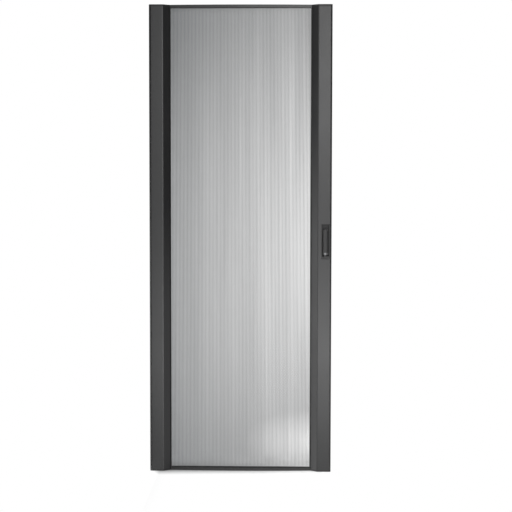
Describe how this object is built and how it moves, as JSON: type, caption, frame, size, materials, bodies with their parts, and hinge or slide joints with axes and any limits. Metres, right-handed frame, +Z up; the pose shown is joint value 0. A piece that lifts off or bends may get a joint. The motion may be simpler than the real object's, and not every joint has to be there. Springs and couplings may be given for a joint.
{
  "type": "perforated rack cabinet door",
  "caption": "Tall perforated steel door for a server rack cabinet, with folded side columns, a bowed see-through panel and a lockable swing handle that works its latch rods.",
  "frame": {"origin": "on the hinge axis at the mouth of the lower hinge bore, level with the door's lower edge", "axes": "+X from the hinge side to the handle side, -Y to the front, +Z up along the hinge axis"},
  "size_m": [0.748, 0.0656, 1.918],
  "materials": {
    "powder_coat": "satin black powder coat on folded sheet steel",
    "black_plastic": "fine-grained black moulding",
    "nylon": "natural moulded nylon",
    "zinc_steel": "bright zinc plating",
    "lock_chrome": "polished plating",
    "black_zinc": "black zinc plating on steel",
    "rubber": "matt black rubber"
  },
  "bodies": {
    "door": {"left_stile": "powder_coat", "right_stile": "powder_coat", "top_rail": "powder_coat", "bottom_rail": "powder_coat", "perforated_panel": "powder_coat", "upper_left_cap": "black_plastic", "upper_right_cap": "black_plastic", "lower_left_cap": "black_plastic", "lower_right_cap": "black_plastic", "upper_hinge_bracket": "powder_coat", "lower_hinge_bracket": "powder_coat", "upper_hinge_bush": "nylon", "lower_hinge_bush": "nylon", "ground_stud": "zinc_steel", "ground_washer": "zinc_steel", "ground_nut": "zinc_steel", "door_bumpers": "rubber", "handle_dish": "black_plastic", "dish_gasket": "rubber", "upper_dish_clamp": "zinc_steel", "lower_dish_clamp": "zinc_steel", "dish_screws": "zinc_steel", "lower_end_guide": "black_plastic", "lower_middle_guide": "black_plastic", "upper_middle_guide": "black_plastic", "upper_end_guide": "black_plastic"},
    "spindle": {"handle_spindle": "black_zinc", "spindle_spacer": "zinc_steel", "crank_plate": "zinc_steel", "drive_pins": "zinc_steel", "crank_washer": "zinc_steel", "crank_screw": "zinc_steel"},
    "grip": {"handle_grip": "black_plastic", "grip_pin": "zinc_steel", "lock_barrel": "black_zinc"},
    "key": {"lock_plug": "lock_chrome", "lock_cam": "black_zinc", "cam_screw": "black_zinc"},
    "upper_rod": {"upper_latch_rod": "zinc_steel", "upper_rod_tip": "black_plastic"},
    "lower_rod": {"lower_latch_rod": "zinc_steel", "lower_rod_tip": "black_plastic"}
  },
  "joints": [
    {"name": "handle_swing", "type": "hinge", "parent": "door", "child": "spindle", "pos_m": [0.7055, -0.02, 0.998], "axis": [0, 1, 0], "range_deg": [0, 90]},
    {"name": "handle_lift", "type": "hinge", "parent": "spindle", "child": "grip", "pos_m": [0.7055, -0.04155, 0.998], "axis": [-1, 0, 0], "range_deg": [0, 35]},
    {"name": "key_turn", "type": "hinge", "parent": "grip", "child": "key", "pos_m": [0.7055, -0.04, 0.904], "axis": [0, -1, 0], "range_deg": [0, 90]},
    {"name": "upper_rod_slide", "type": "slide", "parent": "door", "child": "upper_rod", "axis": [0, 0, -1], "range_m": [0, 0.0198]},
    {"name": "lower_rod_slide", "type": "slide", "parent": "door", "child": "lower_rod", "axis": [0, 0, 1], "range_m": [0, 0.0198]}
  ],
  "couplings": [
    {"joint": "upper_rod_slide", "follows": "handle_swing", "m_per_rad": 0.0126},
    {"joint": "lower_rod_slide", "follows": "handle_swing", "m_per_rad": 0.0126}
  ]
}
